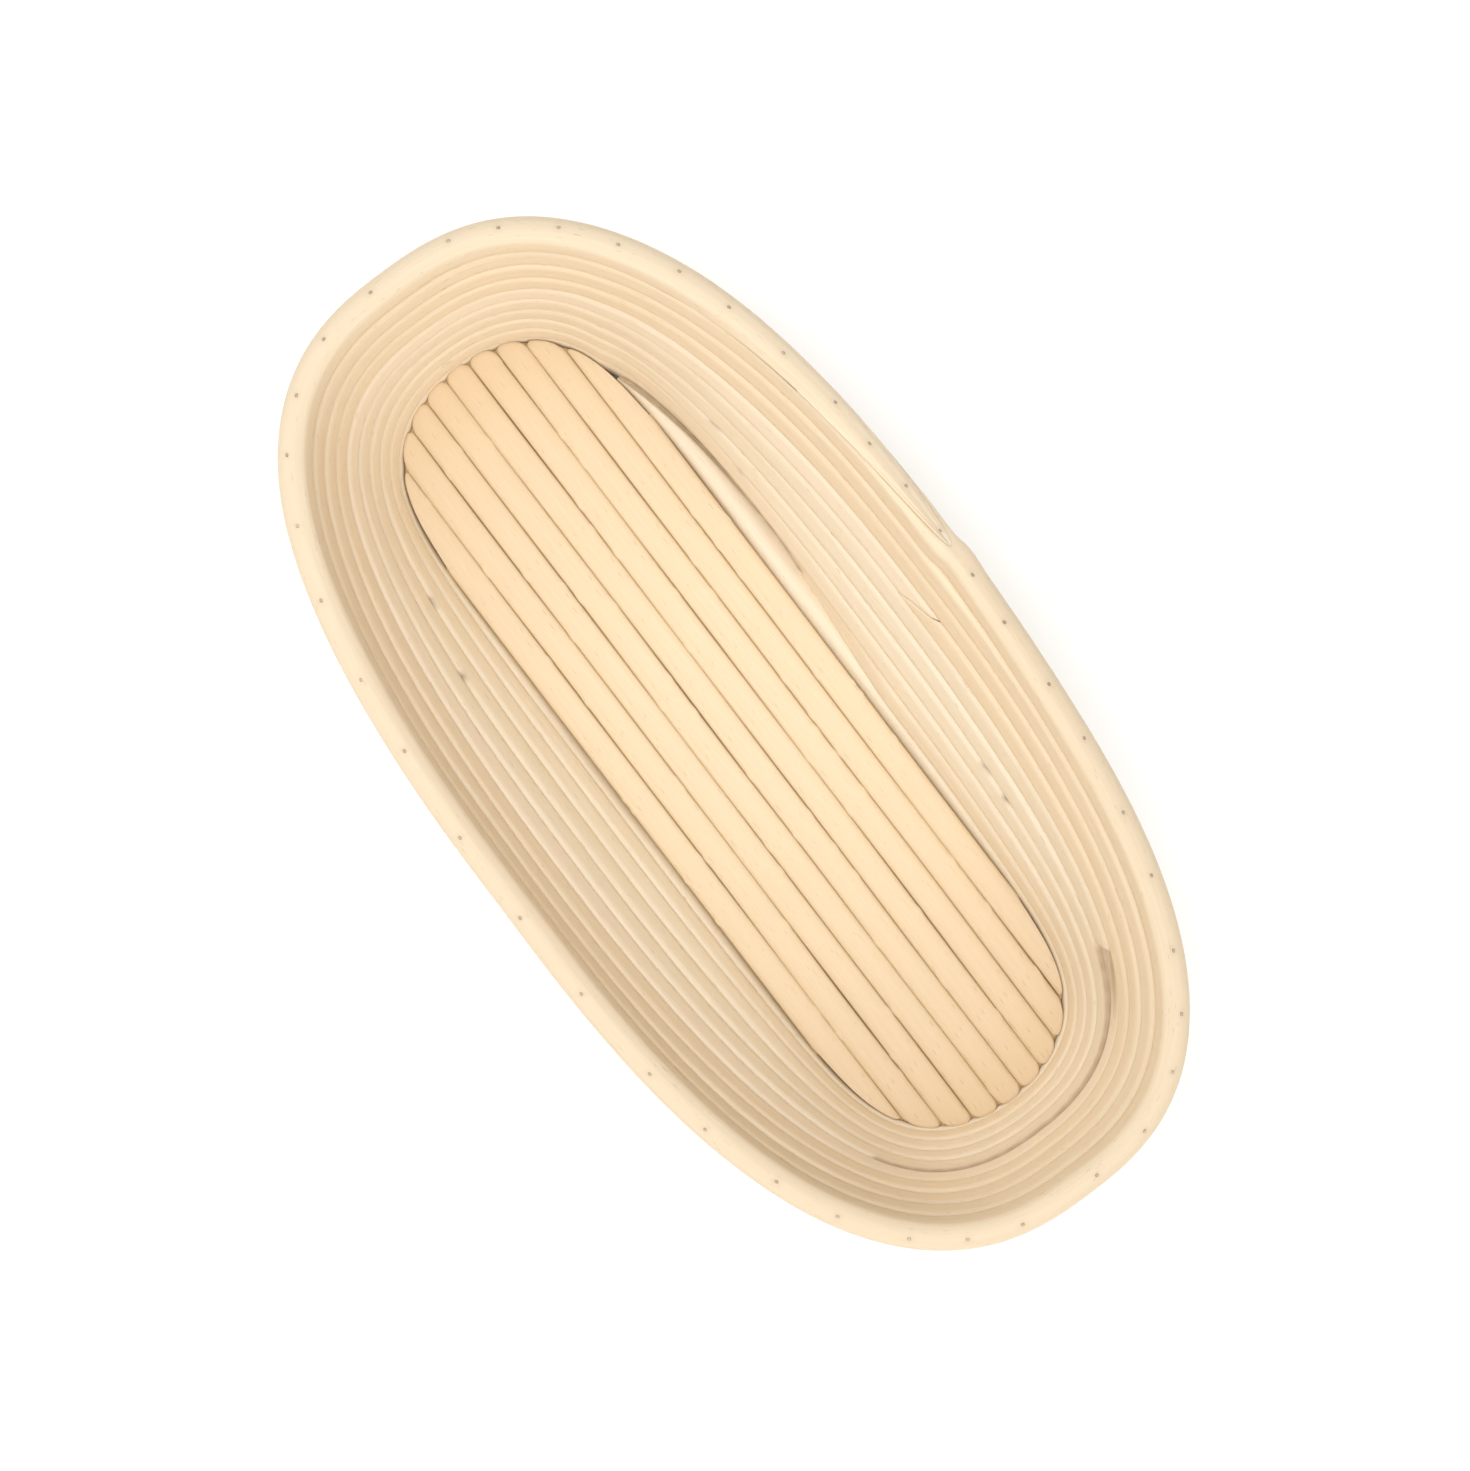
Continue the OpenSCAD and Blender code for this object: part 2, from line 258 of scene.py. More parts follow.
# The share climbed where the second turn leaves room for the first end: three rounds are near enough
start_share = 0.0
for tries in range(3):
    start_share = (first_thick + clearance) / np.hypot(pitch, 4 * climb_push * (1 - start_share))
start_angle = angle_climbed(start_share)
end_angle = angle_climbed(1 - (last_thick + clearance) / pitch)
lead_share = (climb_start - start_angle) / (2 * np.pi)
end_turn = courses + (start_angle - end_angle) / (2 * np.pi)
print("the winding has", round(end_turn, 3), "turns from", np.degrees(start_angle).round(1), "degrees")

# %% The axis of the winding at any turn
vertical = np.array([0, 0, 1.0])
push_fade = 3
late_push = 2.3 * MM
late_peak = 9.48  # makes s^3 (1 - s) reach 1 at its highest


def in_section(out, angle):
    """A direction in the wall's section, turned by an angle from the outward direction towards up."""
    return np.cos(angle)[..., None] * out + np.sin(angle)[..., None] * vertical


def turn_course(turn):
    """A turn's number, the share of its climb that is done, 1 - (1 - s)^n, and the course it lies on."""
    number = np.floor(turn + lead_share)
    done = (climb_start - start_angle + 2 * np.pi * (turn - number)) / (climb_start - climb_end)
    climbed = 1 - (1 - np.clip(done, 0, 1)) ** climb_power
    course = np.where(number < 1, 0, np.where(number > top_course, top_course, number - 1 + climbed))
    return number, climbed, course


def winding(turn):
    """Axis, outward direction and lean of the wall at a turn. The axis lies between two courses by the share
    climbed, and is pushed square to the wall by 4 p s (1 - s) (1 - course / top)^3. The second turn, which
    has the first end to pass, is pushed further late in its climb, by 9.48 q s^3 (1 - s)."""
    number, climbed, course = turn_course(turn)
    k = np.minimum(np.floor(course), top_course - 1).astype(int)
    share = course - k
    axes, low_out, high_out = wall_section(start_angle - 2 * np.pi * turn)
    low, high = (np.take_along_axis(axes, (k + one)[..., None, None], -2)[..., 0, :] for one in (0, 1))
    height = (course / top_course)[..., None]
    out = unit(low_out * (1 - height) + high_out * height)
    step = high - low
    lean = np.arctan2(step[..., 2], (step * out).sum(-1))
    push = 4 * climb_push * share * (1 - share) * (1 - course / top_course) ** push_fade
    push += (number == 1) * late_peak * late_push * climbed ** 3 * (1 - climbed)
    axis = low + share[..., None] * step + push[..., None] * in_section(out, lean - np.pi / 2)
    return axis, out, lean


# %% [markdown]
# ## Lengths of wound cane
# A length of the winding is a pressed circle carried along it, squared in line with the wall's lean. The
# winding's two ends are cut flat towards the neighbouring turn, the first one beside the turn that climbs
# over it and the last one on top of the turn below. Where two lengths meet, they are cut on a slant and
# their edges rubbed round.

# %% How hard a turn is pressed
turn_l = 0.68  # about the length of one turn, to change metres to turns
wall_power, rim_power = 5.5, 2.3
first_power, second_power = 2.0, 2.8  # where the first two turns start
rim_change = 16 * MM  # the run along which the wall's section changes to the rim's
lower_inner = 1.25 * np.pi  # the angle of the lower inner edge, which stays square
feather_x = -4.6 * MM
feather_turn = courses + (start_angle - np.arccos(feather_x / rim_oval[0])) / (2 * np.pi)


def pressing(turn, around):
    """Power of the section at a turn, at an angle round it: that of the wall, rising to it as the cube of
    the climb where the first turn is cut away beside the second. On the rim it falls to the rim's, but for
    the lower inner edge."""
    number, climbed = turn_course(turn)[:2]
    first_lack = (wall_power - first_power) * (number < 1)
    second_lack = (wall_power - second_power) * (number == 1)
    wall = wall_power - (first_lack + second_lack) * (1 - climbed ** 3)
    on_rim = np.clip(0.5 + (turn - feather_turn + 1) * turn_l / rim_change, 0, 1)
    free = np.minimum(1, 1 - np.cos(around - lower_inner))
    return wall + on_rim * free * (rim_power - wall)


print("the winding is feathered out at turn", round(feather_turn, 3))

# %% Rows of a length, and its flat cut ends
arc_limit = np.radians(112.5)


def end_rows(first, last, spacing, first_round, last_round):
    """Places along a length, in turns, crowding into each end, and the size there: a quarter circle."""
    quarter = np.linspace(0, np.pi / 2, 7)[:-1]
    first_in, last_in = first_round / turn_l, last_round / turn_l
    body = np.linspace(first + first_in, last - last_in, int((last - first) * turn_l / spacing))
    start = first + first_in * (1 - np.cos(quarter))
    stop = last - last_in * (1 - np.cos(quarter[::-1]))
    size = np.concatenate([np.sin(quarter), np.ones(len(body)), np.sin(quarter[::-1])])
    return np.concatenate([start, body, stop]), size


def cut_section(corner, way_out, way_up, gap, tilt):
    """The circle of a cane, less the segment within a gap of a neighbour that lies some way out and up from
    it. Corners within arc_limit of the far side share out the arc that is left, the others the straight cut.
    The cut may lean by a tilt about its upper edge. Also gives the middle of what is left, for a thin end to
    shrink to."""
    level = np.clip(np.hypot(way_out, way_up) - cane_r - gap, -cane_r, cane_r)
    level = level * np.cos(tilt) + np.sqrt(cane_r ** 2 - level ** 2) * np.sin(tilt)
    facing = np.arctan2(way_up, way_out) + tilt + np.pi
    turned = (corner - facing + np.pi) % (2 * np.pi) - np.pi
    arc = np.minimum(arc_limit, np.arccos(np.clip(-level / cane_r, -1, 1)))
    kept = np.abs(turned) <= arc_limit
    on_arc = turned * arc / arc_limit
    deep = np.where(kept, cane_r * np.cos(on_arc), np.maximum(cane_r * np.cos(turned), -level))
    wide = cane_r * np.where(kept, np.sin(on_arc), np.sin(arc) * np.sin(turned) / np.sin(arc_limit))
    middle = (cane_r - level) / 2
    x = deep * np.cos(facing) - wide * np.sin(facing)
    y = deep * np.sin(facing) + wide * np.cos(facing)
    return x, y, middle * np.cos(facing), middle * np.sin(facing)


# %% A length of wound cane as a grid of points
cols = 32
slant_run = 9 * MM
wall_swell, wall_swell_wave = 0.008, 0.12  # share of the thickness, and metres along
wall_sway, wall_sway_wave = 0.12 * MM, 0.16


def no_change(place):
    """Stands for a rule that changes nothing."""
    return 0 * place


def wound_cane(first, last, spacing, seed, slants, rounds, gap=no_change, tilt=no_change, shift=no_change):
    """Points, places along and turns of a length. Each ring is the cut circle times the pressed reach, set
    in the section at the axis. Ends slant by a sine round the section. gap and tilt, of the share climbed,
    shape a cut end, and shift, of the turn, moves the cane outwards."""
    turns, size = end_rows(first, last, spacing, *rounds)
    around = np.linspace(0, 2 * np.pi, cols, endpoint=False)
    near = [np.exp(-np.abs(turns - end) * turn_l / slant_run) for end in (first, last)]
    slant = slants[0] * near[0] + slants[1] * near[1]
    grid = turns[:, None] + slant[:, None] / turn_l * np.sin(around)
    axis, out, lean = winding(grid)
    number, climbed = turn_course(grid)[:2]
    corner = lean - np.pi / 2 + around
    way = np.where((number < 1)[..., None], winding(grid + 1)[0], winding(grid - 1)[0]) - axis
    cut = (number < 1) | (number > top_course)
    way_out = np.where(cut, (way * out).sum(-1), pitch * np.cos(lean))
    way_up = np.where(cut, way[..., 2], pitch * np.sin(lean))
    x, y, mid_x, mid_y = cut_section(corner, way_out, way_up, cut * gap(climbed), cut * tilt(climbed))
    place = np.concatenate([[0], np.cumsum(np.linalg.norm(np.diff(axis[:, 0], axis=0), axis=-1))])
    swell = (1 + wall_swell * wander(place, wall_swell_wave, seed))[:, None]
    swell = pressed_reach(around, pressing(grid, around)) * swell
    sway = wall_sway * wander(place, wall_sway_wave, seed + 1)[:, None] + shift(grid)
    x, y = (mid + size[:, None] * (swell * flat - mid) for flat, mid in ((x, mid_x), (y, mid_y)))
    points = axis + x[..., None] * out + y[..., None] * vertical
    points += sway[..., None] * in_section(out, lean - np.pi / 2)
    points[..., 2] = np.maximum(points[..., 2], 0)
    return points, np.interp(grid, turns, place), turns


# %% [markdown]
# ## Three lengths make the wall
# Rattan comes in lengths of a few metres, so the winding is pieced together from three. The lower one starts
# beside the base as a thin tongue, with a shadow between it and the second turn. The short pale one in the
# middle goes round not quite once, and starts a little sunk. The upper one ends on the rim, feathered out on
# the turn below, and there that turn bends out by a millimetre or two to pass the end.

# %% Lower wall cane, with its tongue
lower_end = 5.283  # in turns
tongue_open = 0.8 * MM
tongue_peak = 0.2  # share of the climb where the gap is widest
tongue_lean = np.radians(22)
tongue_leaning = 0.75  # share of the climb along which the lean dies away


def tongue_gap(climbed):
    """Shadow gap beside the first end: it rises as x^1.5 with the climb, dies away as exp(-1.5 x), and ends
    at 0."""
    x = climbed / tongue_peak
    return tongue_open * x ** 1.5 * np.exp(1.5 * (1 - x)) * (1 - climbed ** 4)


def tongue_tilt(climbed):
    """Lean of the tongue's cut face, which shows from above as a brown slope: most at the tip, then less."""
    return tongue_lean * np.clip(1 - climbed / tongue_leaning, 0, 1)


points, along, turns = wound_cane(
    0, lower_end, spacing=1.9 * MM, seed=11, slants=(0, 2 * MM), rounds=(0.6 * MM, 2.5 * MM),
    gap=tongue_gap, tilt=tongue_tilt,
)
lower_wall = add_tubes("lower_wall_cane", points[None], along[None])
dress(lower_wall, "lower_wall_cane")

# %% Middle wall cane, sunk at its start
middle_end = lower_end + 0.862
sunk, sunk_run = 1.6 * MM, 16 * MM
set_back, set_back_run = 0.7 * MM, 130 * MM


def sunk_start(turn):
    """How far the middle length is set back: some two millimetres at its start, which soon die away as
    exp(-x), and less for as far as it goes round the end of the basket, as exp(-x^2)."""
    along = (turn - lower_end) * turn_l
    return sunk * np.exp(-along / sunk_run) + set_back * np.exp(-(along / set_back_run) ** 2)


points, along, turns = wound_cane(
    lower_end, middle_end, spacing=1.5 * MM, seed=21, slants=(2 * MM, 7 * MM), rounds=(1.0 * MM, 0.2 * MM),
    shift=sunk_start,
)
middle_wall = add_tubes("middle_wall_cane", points[None], along[None])
dress(middle_wall, "middle_wall_cane")

# %% Upper wall cane, with its feathered end
feather_wear = 0.64 * MM
feather_tip = 0.92  # share of the climb where the end is worn by all of that
bend_out, bend_step, bend_back = 1.6 * MM, 1 * MM, 26 * MM
long_before = -30 * MM


def feather_gap(climbed):
    """The feathered end is worn thinner than its cut, as x^6, most at its tip, where it thins to nothing."""
    return feather_wear * (climbed / feather_tip) ** 6


def bent_past_end(turn):
    """Bend of the turn below the winding's last end: it steps out within a millimetre past that end, like
    1 / (1 + e^-x), and comes back slowly, like e^-x."""
    past = np.maximum((turn - feather_turn + 1) * turn_l, long_before)
    stepped = 1 + np.exp((bend_step - past) / bend_step)
    return bend_out * np.exp(-np.maximum(past, 0) / bend_back) / stepped


points, along, turns = wound_cane(
    middle_end, feather_turn, spacing=1.25 * MM, seed=31, slants=(7 * MM, 0), rounds=(0.2 * MM, 0.8 * MM),
    gap=feather_gap, shift=bent_past_end,
)
upper_wall = add_tubes("upper_wall_cane", points[None], along[None])
rim_from = np.interp(feather_turn - 1, turns, along[:, 0])
dress(upper_wall, "upper_wall_cane")

# %% [markdown]
# ## The base canes
# The base is nine straight canes, pressed so close that only thin dark lines show between them. Each is a
# rounded square drawn out along X, and its ends follow the oval of the first turn: the outer canes are cut
# on a slant, and the cut edges are rubbed round from above. Here and there the edges of two canes meet
# flush, and the line breaks.

# %% Outline of the base, and the spots where its canes meet flush
widest = 0.985  # share of the base's half width past which the oval is no longer followed
flush_l = 1.1 * MM
flush_count = 4


def base_end(y):
    """Half length of the base at a distance from its middle line, from the base's oval."""
    share = np.minimum(np.abs(y) / base_half_w, widest)
    return base_half_l * (1 - share ** base_oval[3]) ** (1 / base_oval[2])


def flush_spots(x, seed):
    """Places where an edge is left square: a few narrow bell curves at random places along the cane."""
    spots = np.random.default_rng(seed).uniform(-base_half_l, base_half_l, flush_count)
    return np.exp(-((x[..., None] - spots) / flush_l) ** 2).sum(-1)


print("half length of the base over its middle cane in mm:", (base_end(0) / MM).round(1))

# %% Base canes with rubbed ends
base_cols = 56
base_power, flush_power = 5.6, 9
base_fill = 1.026  # the canes are this much wider than their place, so that they touch
tip_back, tip_half_w = 3.8 * MM, 1.03 * cane_r
tip_from, tip_run = 2.34 * MM, 0.6 * MM  # height above the axis where the rubbing starts and is full
dome_back = 0.5 * MM
cope_top = 3.1 * MM
base_sway, base_sway_wave = 0.1 * MM, 0.18
base_swell, base_swell_wave = 0.012, 0.15


def base_cane_points(y, seed):
    """Grid of a straight cane: x runs from end to end, and past each end the section shrinks by q while x
    follows the oval at the shrunken section. The upper half is cut out to the round of the first turn,
    r - sqrt(r^2 - h^2) at a height h. Then the end is rubbed back like a fingertip, by f (1 - sqrt(1 - w^3))
    for a share w of the half width, and by d (1 - sqrt(1 - q^4)), both of them towards the top."""
    around = np.linspace(0, 2 * np.pi, base_cols, endpoint=False)
    shrink = np.sin(np.linspace(0, np.pi / 2, 9))[:-1]
    body = np.linspace(-1, 1, 260)
    size = np.concatenate([shrink, np.ones(len(body)), shrink[::-1]])[:, None]
    share = np.concatenate([-np.ones(len(shrink)), body, np.ones(len(shrink))])[:, None]
    left, right = (flush_spots(share * base_half_l, one) for one in (seed, seed + 7))
    flush = np.where(np.sin(around) > 0, left, right)
    reach = cane_r * pressed_reach(around, base_power + flush_power * flush)
    wide, level = base_fill * size * reach * np.sin(around), size * reach * np.cos(around)
    tip = tip_back * (1 - np.sqrt(1 - np.minimum(1, np.abs(wide) / tip_half_w) ** 3))
    tip = tip * np.clip((level - tip_from) / tip_run, 0, 1)
    dome = tip + dome_back * np.maximum(0, np.cos(around)) * (1 - np.sqrt(1 - size ** 4))
    cope = cane_r - np.sqrt(cane_r ** 2 - np.clip(level, 0, cope_top) ** 2)
    x = share * (base_end(y + wide) + cope - dome - base_gap)
    sway = base_sway * wander(x, base_sway_wave, seed + 1)
    swell = 1 + base_swell * wander(x, base_swell_wave, seed + 2)
    points = np.stack([x, y + sway + wide, np.maximum(axis_z + swell * level, 0)], -1)
    return points, x + base_half_l


base_pieces = []
for number, name in enumerate(base_names):
    low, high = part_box(name)
    points, along = base_cane_points((low.y + high.y) / 2, 100 + 10 * number)
    piece = add_tubes(name, points[None], along[None])
    dress(piece, name)
    base_pieces.append(piece)

# %% [markdown]
# ## Brads
# The turns are nailed with small flat-headed brads. Those on the rim, and those that hold the first turn to
# the base, show their heads, a little sunk and dark at the edge. The rest are hidden under the next turn,
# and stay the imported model's own. One brad is a grid of rings from its head to its point, and all brads of a
# row are one mesh.

# %% Brads with flat heads
# Height above the cane and size of each ring of a brad, from the middle of its head to its point
brad_heights = np.array([0.12, 0.12, 0.08, 0, -0.3, -0.4, -10, -10.9]) * MM
brad_sizes = np.array([0, 0.7, 0.92, 1, 1, 0.75, 0.7, 0])
brad_cols = 12
head_half_w, head_half_t, head_power = 0.50 * MM, 0.40 * MM, 4
below_head, off_head = -0.1 * MM, 1.2  # what is lower counts as further out than the head's edge, 1


def add_brads(name, seats, out, along):
    """One mesh of brads in place of a packed row: seat + height out + size (w cos along + t sin across), on
    a rounded square. Along each brad, u tells how far out a ring lies on its head."""
    across = np.cross(out, along)
    around = np.linspace(0, 2 * np.pi, brad_cols, endpoint=False)
    reach = pressed_reach(around, head_power)
    x, y = head_half_w * reach * np.cos(around), head_half_t * reach * np.sin(around)
    ring = x[:, None, None] * along + y[:, None, None] * across
    rings = brad_sizes[:, None, None, None] * ring + brad_heights[:, None, None, None] * out
    points = np.moveaxis(rings + seats, 2, 0)
    spread = np.where(brad_heights < below_head, off_head, brad_sizes)
    piece = add_tubes(name, points, np.broadcast_to(spread[None, :, None], points.shape[:3]))
    dress(piece, name)
    return piece


# %% Brads on the rim
rim_count = 40
crowding, crowd_run = 0.055, 0.1  # in turns
brad_stray, brad_tilt = 1.5 * MM, 0.12
rim_seat_r = 1.005 * cane_r
share = (np.arange(rim_count) + 0.5) / rim_count
from_end = np.where(share < 0.5, share, share - 1)
# Even steps, drawn together within a tenth of a turn of the winding's end
rim_turns = end_turn - 1 + share + crowding * (2 * from_end - np.tanh(from_end / crowd_run))
strays = np.random.default_rng(50).uniform(-1, 1, (2, rim_count))
rim_turns += brad_stray / turn_l * strays[0]
# Where the feathered end covers its own start, the brad goes through the end
rim_turns = np.where(rim_turns + 1 < feather_turn, rim_turns + 1, rim_turns)
axis, out, lean = winding(rim_turns)
ahead = unit(winding(rim_turns + 1e-4)[0] - axis)
up = unit(axis - winding(rim_turns - 1)[0])
up = unit(up + brad_tilt * strays[1][:, None] * out)
rim_seats = axis + rim_seat_r * up
rim_brads = add_brads("rim_nails", rim_seats, up, ahead)

# %% Brads round the foot
thin_turn = 3 * MM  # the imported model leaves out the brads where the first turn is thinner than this
base_share = np.array([(low.y + high.y) / 2 for low, high in map(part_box, base_names)]) / base_half_w
end_angles = np.sign(base_share) * np.arccos((1 - base_share ** 2) ** (1 / base_oval[2]))
side_angles = np.arccos([-0.75, -0.25, 0.25, 0.75])
foot_angles = np.concatenate([end_angles, np.pi - end_angles, side_angles, -side_angles])
foot_turns = (start_angle - foot_angles) % (2 * np.pi) / (2 * np.pi)
axis, out, lean = winding(foot_turns)
room = np.linalg.norm(winding(foot_turns + 1)[0] - axis, axis=-1)
thick = (room - clearance > thin_turn) | (turn_course(foot_turns)[0] > 0)
straight_out = np.pi / 2 - lean
foot_reach = cane_r * pressed_reach(straight_out, pressing(foot_turns, straight_out))
foot_seats = axis + foot_reach[:, None] * out
sideways = np.cross(out, vertical)
foot_brads = add_brads("foot_nails", foot_seats[thick], out[thick], sideways[thick])

# %% [markdown]
# ## Marks, and painted shade in dents and seams
# A faint brown ring of painted shade stands for the small dent round the head of each brad on the rim, and
# the feathered end of the rim was sanded pale when the cane was trimmed. The seams that stay open are darkened
# with painted shade: beside the first end, and at the sunk start of the middle length. A few brads come
# through the wall as brown specks. The painted shade in the creases between the base canes is kept out of
# the small pockets between their ends. All of these are kept as numbers on the mesh's points, worked out from
# the distance to a spot, so that the finish can read them wherever the cane bends. A painted image would
# have to be unwrapped first.

# %% Marks from spots in space
seam_in = 3.1 * MM


def mark(piece, name, spots, size):
    """A point attribute that is 1 at the nearest of some spots and falls off as a bell curve."""
    points = np.empty(len(piece.data.vertices) * 3, np.float32)
    piece.data.vertices.foreach_get("co", points)
    apart = points.reshape(-1, 1, 3) - spots.astype(np.float32)
    fade = np.exp(-((apart ** 2).sum(-1) / np.square(size)).min(1))
    piece.data.attributes.new(name, "FLOAT", "POINT").data.foreach_set("value", fade.astype(np.float32))
    print(name, "reaches", int((fade > 0.2).sum()), "points of", piece.name)


def inner_seam(turn):
    """The groove between a turn and the next one, on the inside of the wall: midway between axes, and in."""
    axis, out, lean = winding(turn)
    next_axis, next_out, next_lean = winding(turn + 1)
    inward = -in_section(unit(out + next_out), (lean + next_lean) / 2 - np.pi / 2)
    return (axis + next_axis) / 2 + seam_in * inward


# %% Painted shade round the brads, and the sanded end
sanded_back = 1.5 * MM
feather_axis, feather_out, feather_lean = winding(np.array([feather_turn - sanded_back / turn_l]))
feather_seat = feather_axis + 0.9 * cane_r * in_section(feather_out, feather_lean)
# Painted shade of the small dent round the head of each brad on the rim
mark(upper_wall, "brad_dent_shade", rim_seats, size=1.1 * MM)
mark(upper_wall, "sanded_end", feather_seat, size=2.6 * MM)

# %% Painted shade in the seam beside the first end, and specks where brads come through
seam_size, speck_size = 0.6 * MM, 1.3 * MM
speck_turns = np.array([2.071, 2.743, 3.054, 3.201, 3.214, 3.711])
beside = np.linspace(0.002, 0.11, 90)
second = winding(beside + 1)[0]
way = unit(second - winding(beside)[0])
upper_edge = unit(vertical - way[:, 2:] * way)
# On the second turn, about 35 degrees up from the side that faces the first end
tongue_seam = second + 1.03 * cane_r * (0.57 * upper_edge - 0.82 * way)
specks = inner_seam(speck_turns)
sizes = np.concatenate([np.full(len(tongue_seam), seam_size), np.full(len(specks), speck_size)])
# Painted shade in the open seam beside the first end, and brown specks where brads come through the wall
mark(lower_wall, "seam_shade_and_specks", np.concatenate([tongue_seam, specks]), sizes)

# %% Painted shade in the slot and the long seam at the sunk start of the middle length
slot_l, slot_in, slot_slope = 22 * MM, 3.2 * MM, 0.1
into = np.linspace(0, slot_l, 30)
axis, out, lean = winding(lower_end + into / turn_l)
inward = -in_section(out, lean - np.pi / 2)
slot = axis + (slot_in - slot_slope * into)[:, None] * inward
# Painted shade in the slot at the sunk start of the middle length
mark(middle_wall, "seam_shade_and_specks", slot, size=1.8 * MM)
long_seam = inner_seam(np.linspace(lower_end - 1, lower_end - 0.8, 90))
# Painted shade along the seam under the sunk start of the middle length
for piece in (lower_wall, middle_wall):
    mark(piece, "faint_seam_shade", long_seam, size=1.2 * MM)

# %% Pockets between the ends of the base canes, kept free of the creases' painted shade
pocket_z = 6 * MM
for piece, y in zip(base_pieces, base_share * base_half_w):
    edges = y + cane_r * np.array([-1, 1, -1, 1])
    pockets = np.stack([base_end(edges) * [-1, -1, 1, 1], edges, np.full(4, pocket_z)], -1)
    mark(piece, "end_pocket", pockets, size=2.2 * MM)

# %% [markdown]
# ## The finish of bare cane
# Rattan core is a bundle of straight fibres, so every colour in it runs lengthwise: fine lines a fraction of
# a millimetre apart, broader streaks, and slow changes from length to length as the palm grew. All three are
# the same noise, read at a point on a cylinder and stretched by different amounts along it. Because the UV
# map is in metres along the cane, the lines follow each bend, which noise in plain space could not do. The
# first group below does this once for every cane in the basket, and only its colours and its seed differ.
# The second one mixes a mark's colour into a colour: a stain for some marks, painted shade for others.

# %% Small helpers to build nodes
def add(tree, kind, inputs=None, **settings):
    """Adds a node. Its inputs are given by name or number: a socket is linked, and a value is set."""
    node = tree.nodes.new(kind)
    for key, value in settings.items():
        setattr(node, key, value)
    for key, value in (inputs or {}).items():
        if isinstance(value, bpy.types.NodeSocket):
            tree.links.new(value, node.inputs[key])
        else:
            node.inputs[key].default_value = value
    return node


def maths(tree, operation, *values):
    """The output of a Math node of one or two values."""
    return add(tree, "ShaderNodeMath", dict(enumerate(values)), operation=operation).outputs[0]


def ramp(tree, value, low, high, to_low=0.0, to_high=1.0):
    """A value carried smoothly from one range to another, and held at the ends."""
    inputs = {0: value, 1: low, 2: high, 3: to_low, 4: to_high}
    return add(tree, "ShaderNodeMapRange", inputs, interpolation_type="SMOOTHSTEP").outputs[0]


def tint(tree, factor, plain, tinted, blend="MIX"):
    """A colour mixed towards another by a factor."""
    inputs = {"Factor": factor, 6: plain, 7: tinted}
    return add(tree, "ShaderNodeMix", inputs, data_type="RGBA", blend_type=blend).outputs[2]


# %% The cane fibre group
VECTOR, NUMBER, COLOUR = "NodeSocketVector", "NodeSocketFloat", "NodeSocketColor"


def new_group(name, takes, gives):
    """A node group with named inputs and outputs. Gives the group, what it is given and its result."""
    group = bpy.data.node_groups.new(name, "ShaderNodeTree")
    for in_out, sockets in (("INPUT", takes), ("OUTPUT", gives)):
        for socket, kind in sockets.items():
            group.interface.new_socket(socket, in_out=in_out, socket_type=kind)
    return group, group.nodes.new("NodeGroupInput").outputs, group.nodes.new("NodeGroupOutput").inputs


fibre_group, given, result = new_group(
    "cane_fibre",
    {"Place": VECTOR, "Seed": NUMBER, "Pale": COLOUR, "Deep": COLOUR},
    {"Color": COLOUR, "Roughness": NUMBER, "Height": NUMBER},
)
place = add(fibre_group, "ShaderNodeSeparateXYZ", {0: given["Place"]}).outputs
angle = maths(fibre_group, "MULTIPLY", place[1], 2 * np.pi)
round_x = maths(fibre_group, "COSINE", angle)
round_y = maths(fibre_group, "SINE", angle)


def lengthwise_noise(per_metre, radius, detail):
    """Noise on a cylinder of a radius, so many cells per metre along: a small radius gives broad streaks."""
    tree = fibre_group
    point = add(tree, "ShaderNodeCombineXYZ", {
        0: maths(tree, "MULTIPLY", place[0], per_metre),
        1: maths(tree, "MULTIPLY", round_x, radius),
        2: maths(tree, "MULTIPLY", round_y, radius),
    }).outputs[0]
    inputs = {"Vector": point, "W": given["Seed"], "Scale": 1.0, "Detail": detail}
    return add(tree, "ShaderNodeTexNoise", inputs, noise_dimensions="4D").outputs[0]


lines = lengthwise_noise(per_metre=55, radius=10, detail=2)
streaks = lengthwise_noise(per_metre=9, radius=2.4, detail=2)
drift = lengthwise_noise(per_metre=2.4, radius=0.3, detail=1)
pores = lengthwise_noise(per_metre=260, radius=17, detail=1)
print("cane fibre group gives", result.keys())

# %% Colour, gloss and relief of the fibres
tree = fibre_group
pore_brown = (0.36, 0.22, 0.1, 1)
broad = ramp(tree, drift, 0.3, 0.7)
middle = ramp(tree, streaks, 0.25, 0.75)
fine = ramp(tree, lines, 0.25, 0.75)
shade = maths(tree, "MULTIPLY", broad, 0.45)
shade = maths(tree, "ADD", shade, maths(tree, "MULTIPLY", middle, 0.3))
shade = maths(tree, "ADD", shade, maths(tree, "MULTIPLY", fine, 0.25))
shade = tint(tree, shade, given["Pale"], given["Deep"])
speck = ramp(tree, pores, 0.69, 0.76)
shade = tint(tree, maths(tree, "MULTIPLY", speck, 0.45), shade, pore_brown)
dip = maths(tree, "MULTIPLY", speck, 0.6)
tree.links.new(shade, result["Color"])
tree.links.new(ramp(tree, lines, 0.3, 0.7, 0.5, 0.68), result["Roughness"])
tree.links.new(maths(tree, "SUBTRACT", fine, dip), result["Height"])
print("cane fibre group:", len(tree.nodes), "nodes")

